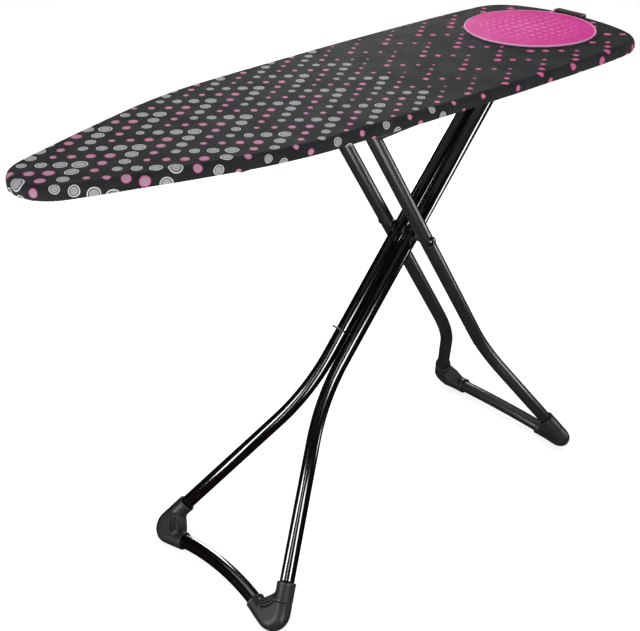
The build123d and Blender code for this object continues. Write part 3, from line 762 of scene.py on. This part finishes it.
# ---- legs ----------------------------------------------------------------------------------
def leg_axes(tilt):
    """Directions across the board and up the leg."""
    return Vector((0, 1, 0)), Vector((sin(radians(tilt)), 0, cos(radians(tilt))))


def in_leg(tilt, across, up):
    """Point of a leg's plane, from the pivot."""
    side, rise = leg_axes(tilt)
    return PIVOT + side * across + rise * up


def rounded(corners, radius, step=radians(1.5)):
    """Points of a line through three corners with its bend rounded to an arc."""
    start, bend, end = corners
    back, on = (start - bend).normalized(), (end - bend).normalized()
    turn = pi - back.angle(on)
    tangent = radius * np.tan(turn / 2)
    centre = bend + (back + on).normalized() * (radius / cos(turn / 2))
    first, last = bend + back * tangent - centre, bend + on * tangent - centre
    count = max(4, round(turn / step))
    arc = [centre + first.slerp(last, i / count).normalized() * radius for i in range(count + 1)]
    return [start, *arc, end]


def sweep(name, path, radius, slot, body, wall=0.0, sides=56):
    """Round tube or rod along a path, hollow if it has a wall."""
    path = np.array([tuple(p) for p in path])
    tangent = np.gradient(path, axis=0)
    tangent /= np.linalg.norm(tangent, axis=1)[:, None]
    helper = np.array([1.0, 0, 0]) if abs(tangent[0][0]) < 0.8 else np.array([0, 0, 1.0])
    normal = np.cross(tangent[0], helper)
    angle = np.linspace(0, tau, sides, endpoint=False)
    frames = []
    for t in tangent:
        normal = normal - t * normal.dot(t)
        normal /= np.linalg.norm(normal)
        frames.append((normal, np.cross(t, normal)))

    def ring(i, r):
        u, v = frames[i]
        return path[i] + r * (np.outer(np.cos(angle), u) + np.outer(np.sin(angle), v))

    last = len(path) - 1
    soft = min(0.3 * MM, radius * 0.3)
    ends = [path[0] + tangent[0] * soft, path[last] - tangent[last] * soft]
    rings = [ring(0, radius - soft), ring(0, radius) + ends[0] - path[0]]
    rings += [ring(i, radius) for i in range(1, last)]
    rings += [ring(last, radius) + ends[1] - path[last], ring(last, radius - soft)]
    if wall:
        rings += [ring(i, radius - wall) for i in range(last, -1, -1)]
    else:
        rings = [ring(0, 0), *rings, ring(last, 0)]
    faces = ring_faces(len(rings), sides, bool(wall))
    piece = build(name, np.vstack(rings), faces, slot, body)
    merge(piece)
    return piece


def bow_radius(shape):
    """Radius of a leg's bowed crossbar."""
    return (shape.foot_half**2 + shape.bow**2) / (2 * shape.bow)


def crossbar_point(leg, side, along):
    """Point of a crossbar's centre line, `along` metres from the ankle on that side."""
    shape = LEGS[leg]
    drop = (PIVOT.z - shape.ankle_z) / cos(radians(shape.tilt))
    radius = bow_radius(shape)
    swing = np.arctan2(shape.foot_half, radius - shape.bow) - along / radius
    up = -drop + shape.bow - radius * (1 - cos(swing))
    return in_leg(shape.tilt, side * radius * sin(swing), up)


def leg_corners(leg, side):
    """Ankle and flare bend of a leg's tube on that side."""
    shape = LEGS[leg]
    lean = cos(radians(shape.tilt))
    ankle = in_leg(shape.tilt, side * shape.foot_half, -(PIVOT.z - shape.ankle_z) / lean)
    return ankle, in_leg(shape.tilt, side * shape.half, (shape.flare_z - PIVOT.z) / lean)


def make_leg(leg):
    """The three tubes of a leg."""
    shape = LEGS[leg]
    for side, place_name in SIDES:
        top = in_leg(shape.tilt, side * shape.half, shape.reach + TUBE_PAST)
        ankle, bend = leg_corners(leg, side)
        foot_end = ankle + (bend - ankle).normalized() * TUBE_INSET
        path = rounded((top, bend, foot_end), shape.flare_r)
        node = f"leg_{leg}_tube_{place_name}"
        tube = sweep(f"{node}_drawn", path, TUBE_R, f"leg_{leg}_black", f"leg_{leg}", TUBE_WALL)
        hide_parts(node)
    radius = bow_radius(shape)
    length = 2 * radius * np.arcsin(shape.foot_half / radius)
    path = [
        crossbar_point(leg, 1, along) for along in np.linspace(TUBE_INSET, length - TUBE_INSET, 49)
    ]
    node = f"leg_{leg}_crossbar"
    bar = sweep(f"{node}_drawn", path, TUBE_R, f"leg_{leg}_black", f"leg_{leg}", TUBE_WALL)
    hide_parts(node)


def thicken_web(mesh, ankle, up, out, facing):
    """Swells the web between a foot's sockets until it is flush with them, rounded at its edge."""
    points = coordinates(mesh, "co")
    away = points - ankle
    lean = up @ out
    solved = np.linalg.inv(np.array([[1, lean], [lean, 1]])) @ np.vstack([away @ up, away @ out])
    on_up, on_out = np.clip(solved, 1e-6, None)
    short = np.minimum(on_up, on_out)
    spread = on_up + on_out
    slack = np.clip((WEB_LEN - spread + 0.25 * short) / (20 * MM), 0, 1)
    profile = np.sqrt(1 - (1 - slack) ** 2) * smooth_step(short / (4 * MM))
    profile *= smooth_step((spread - 21 * MM) / (5 * MM))
    height = away @ facing
    lifted = np.maximum(np.abs(height), SOCKET_R * profile)
    on_face = (np.abs(height) > 9 * MM) & (solved.min(axis=0) > 1 * MM) & (spread < WEB_LEN)
    points += np.outer(np.where(on_face, np.sign(height) * lifted - height, 0), facing)
    mesh.vertices.foreach_set("co", points.ravel())
    mesh.update()


def bell(distance, width):
    """1 at distance 0, falling smoothly to nothing a few widths away."""
    return np.exp(-((distance / width) ** 2))


def socket_details(from_ankle, up, out):
    """Raised lips of both sockets and the seam round the leg's: outward push and seam, per point."""
    push, seam = np.zeros(len(from_ankle)), np.zeros(len(from_ankle))
    for along, lip in ((up, LEG_SOCKET), (out, BAR_SOCKET)):
        on = from_ankle @ along
        off = np.linalg.norm(from_ankle - np.outer(on, along), axis=1)
        outer = smooth_step((off - 14.4 * MM) / (0.8 * MM)) * (off < 20 * MM)
        push += 0.5 * MM * outer * bell(on - lip + 2 * MM, 1.6 * MM)
        if lip == LEG_SOCKET:
            seam = outer * bell(on - lip + 35 * MM, 0.9 * MM)
            push -= 0.8 * MM * seam
    return push, seam


def grip_grooves(from_hub, normals, middle, facing):
    """Three curved grooves across the web, about a hub beyond its edge: 1 inside them."""
    spoke = from_hub - np.outer(from_hub @ facing, facing)
    away = np.linalg.norm(spoke, axis=1)
    span = smooth_step((spoke @ -middle / np.maximum(away, 1e-6) - 0.925) / 0.03)
    flat_face = smooth_step((np.abs(normals @ facing) - 0.25) / 0.3)
    rows = sum(bell(away - (34.5 + 5.6 * k) * MM, 1.4 * MM) for k in range(3))
    return span * flat_face * rows


def round_sole(points, ankle, up, out):
    """Rounds the sole's edge: low points draw in towards the middle line of the moulding."""
    along = np.linspace(0, BAR_SOCKET, 60)
    spine = ankle[:2] + np.vstack([np.outer(along, axis[:2]) for axis in (up, out)])
    low = np.clip(1 - points[:, 2] / SOLE_ROUND, 0, 1)
    under = np.flatnonzero(low)
    gap = ((points[under, None, :2] - spine[None]) ** 2).sum(axis=2)
    pull = np.exp((gap.min(axis=1)[:, None] - gap) / (2 * (9 * MM) ** 2))
    core = pull @ spine / pull.sum(axis=1)[:, None]
    draw_in = SOLE_ROUND * (1 - np.sqrt(1 - low[under] ** 2)) / SOCKET_R
    points[under, :2] -= (points[under, :2] - core) * draw_in[:, None]
    points[:, 2] = np.maximum(points[:, 2], 0.0)


def make_foot(leg, side, place_name):
    """Moulded foot: the CAD elbow with softened edges, socket lips, a seam and grip grooves."""
    node = f"foot_{leg}_{place_name}"
    piece = bpy.data.objects.new(f"{node}_moulded", frame["nodes"][node].data.copy())
    bpy.context.collection.objects.link(piece)
    remesh = piece.modifiers.new("remesh", "REMESH")
    remesh.mode = "VOXEL"
    remesh.voxel_size = 1.0 * MM
    apply_modifiers(piece)
    ankle, bend = leg_corners(leg, side)
    up = (bend - ankle).normalized()
    out = (crossbar_point(leg, side, BAR_SOCKET) - ankle).normalized()
    ankle, up, out, middle, facing = [
        np.array(v) for v in (ankle, up, out, (up + out).normalized(), up.cross(out).normalized())
    ]
    thicken_web(piece.data, ankle, up, out, facing)
    relax = piece.modifiers.new("relax", "SMOOTH")
    relax.iterations = 14
    apply_modifiers(piece)

    mesh = piece.data
    points, normals = coordinates(mesh, "co"), coordinates(mesh, "normal")
    push, seam = socket_details(points - ankle, up, out)
    hub = ankle + middle * (WEB_DEPTH + 30 * MM)
    grooves = grip_grooves(points - hub, normals, middle, facing)
    points = points + normals * (push - 2.2 * MM * grooves)[:, None]
    round_sole(points, ankle, up, out)
    mesh.vertices.foreach_set("co", points.ravel())
    # Mark for the painted shade in the seam and grooves, which the foot material turns near black.
    mark_points(mesh, "hollow", np.clip(seam + grooves, 0, 1))
    mesh.update()
    mesh.shade_smooth()
    mesh.materials.clear()
    mesh.materials.append(MATERIALS["foot_plastic"])
    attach(piece, f"leg_{leg}")
    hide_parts(node)


for leg in LEGS:
    make_leg(leg)
    for side, place_name in SIDES:
        make_foot(leg, side, place_name)


# ---- small hardware ------------------------------------------------------------------------
def lathe(name, profile, centre, side, slot, body, nodes=()):
    """Turned piece about an axis across the board: profile of (radius, distance outwards)."""
    around = 48
    angle = np.linspace(0, tau, around, endpoint=False)
    rings = []
    for radius, out in profile:
        rings.append(np.column_stack([
            centre.x + radius * np.cos(angle),
            np.full(around, centre.y + side * out),
            centre.z + radius * np.sin(angle),
        ]))
    piece = build(name, np.vstack(rings), ring_faces(len(rings), around, False), slot, body)
    merge(piece)
    if nodes:
        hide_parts(*nodes)
    return piece


def make_caps():
    """Domed heads of the pivot bolt, each with a shallow dimple."""
    low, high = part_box("pivot_caps")
    radius = (high.x - low.x) / 2
    seat = LEGS["b"].half + TUBE_R + 1.6 * MM
    tall = high.y - seat
    skirt = 1.8 * MM
    dome = [(0.0, 0.0), (radius, 0.0), (radius, 1.6 * MM)]
    for i in range(9):
        turn = radians(10 * i)
        dome.append((radius * (0.35 + 0.62 * cos(turn)), skirt + (tall - skirt) * sin(turn)))
    dome += [(0.3 * radius, tall), (0.24 * radius, tall - 0.9 * MM), (0.0, tall - 1.0 * MM)]
    for side, place_name in SIDES:
        centre = Vector((PIVOT.x, side * seat, PIVOT.z))
        lathe(f"pivot_cap_{place_name}", dome, centre, side, "bolt_black", "leg_b", ["pivot_caps"])


make_caps()



def make_spring():
    """Lever's return spring: six turns of wire inside the CAD spring's box."""
    low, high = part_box("lever_spring")
    wire_r, turns, per_turn = 0.6 * MM, 6, 24
    radius = (high.x - low.x) / 2 - wire_r
    middle = (low + high) / 2
    coil = []
    for i in range(turns * per_turn + 1):
        turn = tau * i / per_turn
        share = i / (turns * per_turn)
        coil.append((
            middle.x + radius * cos(turn),
            low.y + wire_r + (high.y - low.y - 2 * wire_r) * share,
            middle.z + radius * sin(turn),
        ))
    spring = sweep("lever_spring_coil", coil, wire_r, "spring_steel", "lever", sides=12)
    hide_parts("lever_spring")


make_spring()


# ---- CAD parts that keep their shape -------------------------------------------------------
SLOTS = {row["node"]: row["material_slot"] for row in frame["record"]["subparts"]}
for name, node in frame["nodes"].items():
    if node.hide_render:
        continue
    made = MATERIALS[SLOTS[name]]
    if not node.material_slots:
        node.data.materials.append(made)
    for material_slot in node.material_slots:
        material_slot.material = made


# ---- floor, lights, camera -----------------------------------------------------------------
def make_floor():
    """Pale studio sweep under the board."""
    half = 9.0
    mesh = bpy.data.meshes.new("studio_floor")
    corners = [(-half, -half, 0), (half, -half, 0), (half, half, 0), (-half, half, 0)]
    mesh.from_pydata(corners, [], [(0, 1, 2, 3)])
    floor_piece = bpy.data.objects.new("studio_floor", mesh)
    bpy.context.collection.objects.link(floor_piece)
    tree, into, made = material("studio_paper")
    grain = noise(place(tree), 3.0, 2.0)
    feed(into["Base Color"], blend(grain, (0.9, 0.9, 0.9, 1), (0.94, 0.94, 0.94, 1)))
    feed(into["Roughness"], 0.9)
    feed(into["Emission Color"], (1.0, 1.0, 1.0, 1.0))
    feed(into["Emission Strength"], 0.75)
    mesh.materials.append(made)
    floor_piece.visible_glossy = False


def softbox(name, spot, aim, wide, tall, power, gloss_only=False):
    """Rectangular area light, looking at a point; a card for reflections if gloss_only."""
    lamp = bpy.data.lights.new(name, "AREA")
    lamp.shape = "RECTANGLE"
    lamp.size, lamp.size_y = wide, tall
    lamp.energy = power
    holder = bpy.data.objects.new(name, lamp)
    holder.visible_camera = False
    holder.visible_diffuse = not gloss_only
    holder.location = spot
    holder.rotation_mode = "QUATERNION"
    holder.rotation_quaternion = (Vector(aim) - Vector(spot)).to_track_quat("-Z", "Y")
    bpy.context.collection.objects.link(holder)


make_floor()
softbox("overhead", (0.2, 0.4, 3.2), (0, 0, 0.4), 3.2, 2.6, 46.0)
softbox("front_left", (-2.5, -1.3, 1.3), (0.1, 0, 0.5), 0.2, 2.4, 22.0)
softbox("left_card", (-2.5, 0.45, 0.75), (0, 0, 0.45), 0.7, 1.9, 84.0, gloss_only=True)
softbox("front_card", (-0.95, -2.5, 0.75), (0, 0, 0.45), 0.7, 1.9, 84.0, gloss_only=True)
softbox("right_card", (2.2, -1.9, 0.75), (0.2, 0, 0.45), 0.6, 1.9, 60.0, gloss_only=True)
softbox("back_card", (2.0, 2.2, 0.9), (0.1, 0, 0.5), 0.6, 2.2, 60.0, gloss_only=True)

world = bpy.data.worlds.new("studio")
bpy.context.scene.world = world
world.use_nodes = True
world.node_tree.nodes["Background"].inputs["Color"].default_value = (1.0, 1.0, 1.0, 1.0)
world.node_tree.nodes["Background"].inputs["Strength"].default_value = 0.2
world.cycles_visibility.glossy = False

LENS_FROM = Vector((-1.2205, -1.2752, 1.4481))
HEADING, DOWN = radians(42.096), radians(29.820)
lens = bpy.data.cameras.new("camera")
lens.lens = 63.15
lens.sensor_width = 36.0
lens.clip_start, lens.clip_end = 0.05, 60.0
camera = bpy.data.objects.new("camera", lens)
camera.location = LENS_FROM
camera.rotation_mode = "QUATERNION"
looking = Vector((sin(HEADING) * cos(DOWN), cos(HEADING) * cos(DOWN), -sin(DOWN)))
camera.rotation_quaternion = looking.to_track_quat("-Z", "Y")
bpy.context.collection.objects.link(camera)
bpy.context.scene.camera = camera
bpy.context.scene.view_settings.view_transform = "Standard"
